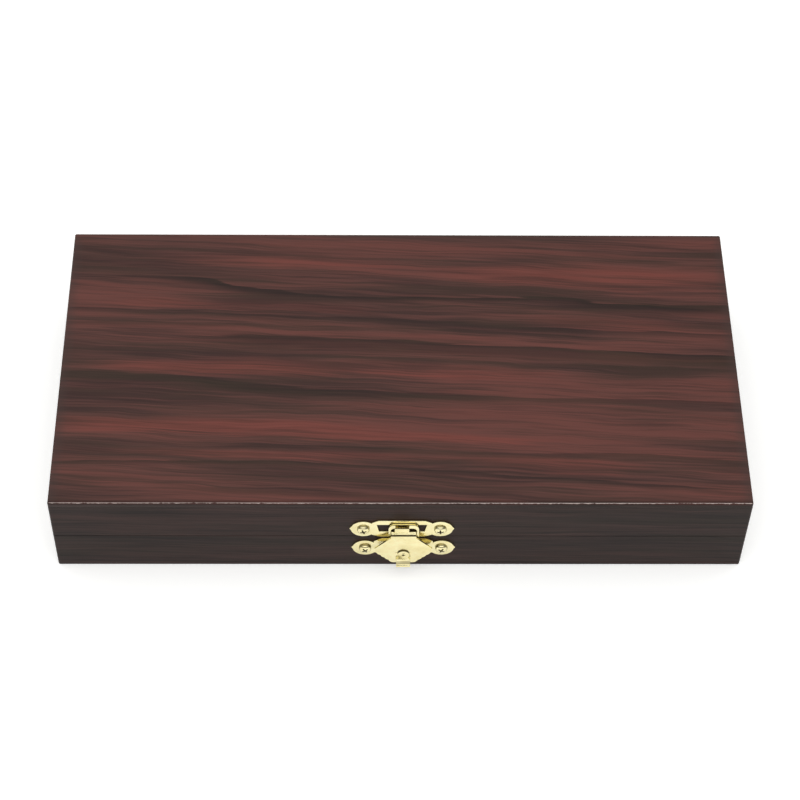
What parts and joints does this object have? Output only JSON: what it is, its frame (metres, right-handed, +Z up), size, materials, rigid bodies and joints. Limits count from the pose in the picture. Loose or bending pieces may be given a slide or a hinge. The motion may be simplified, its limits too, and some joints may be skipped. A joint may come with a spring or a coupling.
{
  "type": "poker chip case",
  "caption": "Shallow wooden poker chip case wrapped in dark wood-print foil, with a hinged lid, brass toggle clasp, chip racks and a card tray.",
  "frame": {"origin": "centre of the wooden case's flat underside; the clasp and the hinges stand out from the front and back walls", "axes": "+Z up through the lid, X along the long side, -Y out of the front where the clasp is"},
  "size_m": [0.3, 0.1619, 0.0473],
  "materials": {
    "printed_foil": "semi-gloss dark wood-print foil over board",
    "flock": "black flock",
    "felt": "black felt",
    "clasp_brass": "bright pale brass plate",
    "hinge_brass": "bright brass plate"
  },
  "bodies": {
    "base": {"base_bottom_panel": "printed_foil", "base_front_wall": "printed_foil", "base_back_wall": "printed_foil", "base_left_wall": "printed_foil", "base_right_wall": "printed_foil", "left_chip_rack": "flock", "right_chip_rack": "flock", "card_tray": "flock", "left_hinge_base_leaf": "hinge_brass", "right_hinge_base_leaf": "hinge_brass", "left_hinge_pin": "hinge_brass", "right_hinge_pin": "hinge_brass", "base_hinge_screws": "hinge_brass", "catch_plate": "clasp_brass", "catch_screws": "clasp_brass", "lever_pin": "clasp_brass"},
    "lid": {"lid_top_panel": "printed_foil", "lid_front_wall": "printed_foil", "lid_back_wall": "printed_foil", "lid_left_wall": "printed_foil", "lid_right_wall": "printed_foil", "lid_lining": "felt", "left_hinge_lid_leaf": "hinge_brass", "right_hinge_lid_leaf": "hinge_brass", "lid_hinge_screws": "hinge_brass", "strike_plate": "clasp_brass", "strike_screws": "clasp_brass"},
    "lever": {"lever": "clasp_brass", "finger_tab": "clasp_brass", "tab_rivet": "clasp_brass"},
    "bail": {"bail": "clasp_brass"}
  },
  "joints": [
    {"name": "lid_hinge", "type": "hinge", "parent": "base", "child": "lid", "pos_m": [0, 0.07795, 0.02375], "axis": [-1, 0, 0], "range_deg": [0, 180]},
    {"name": "lever_pivot", "type": "hinge", "parent": "base", "child": "lever", "pos_m": [0.0013, -0.0785, 0.0288], "axis": [-1, 0, 0], "range_deg": [0, 75]},
    {"name": "bail_pivot", "type": "hinge", "parent": "lever", "child": "bail", "pos_m": [0.0013, -0.0779, 0.026], "axis": [-1, 0, 0], "range_deg": [-52, 0]}
  ],
  "couplings": [
    {"joint": "bail_pivot", "follows": "lever_pivot", "ratio": -0.66}
  ]
}
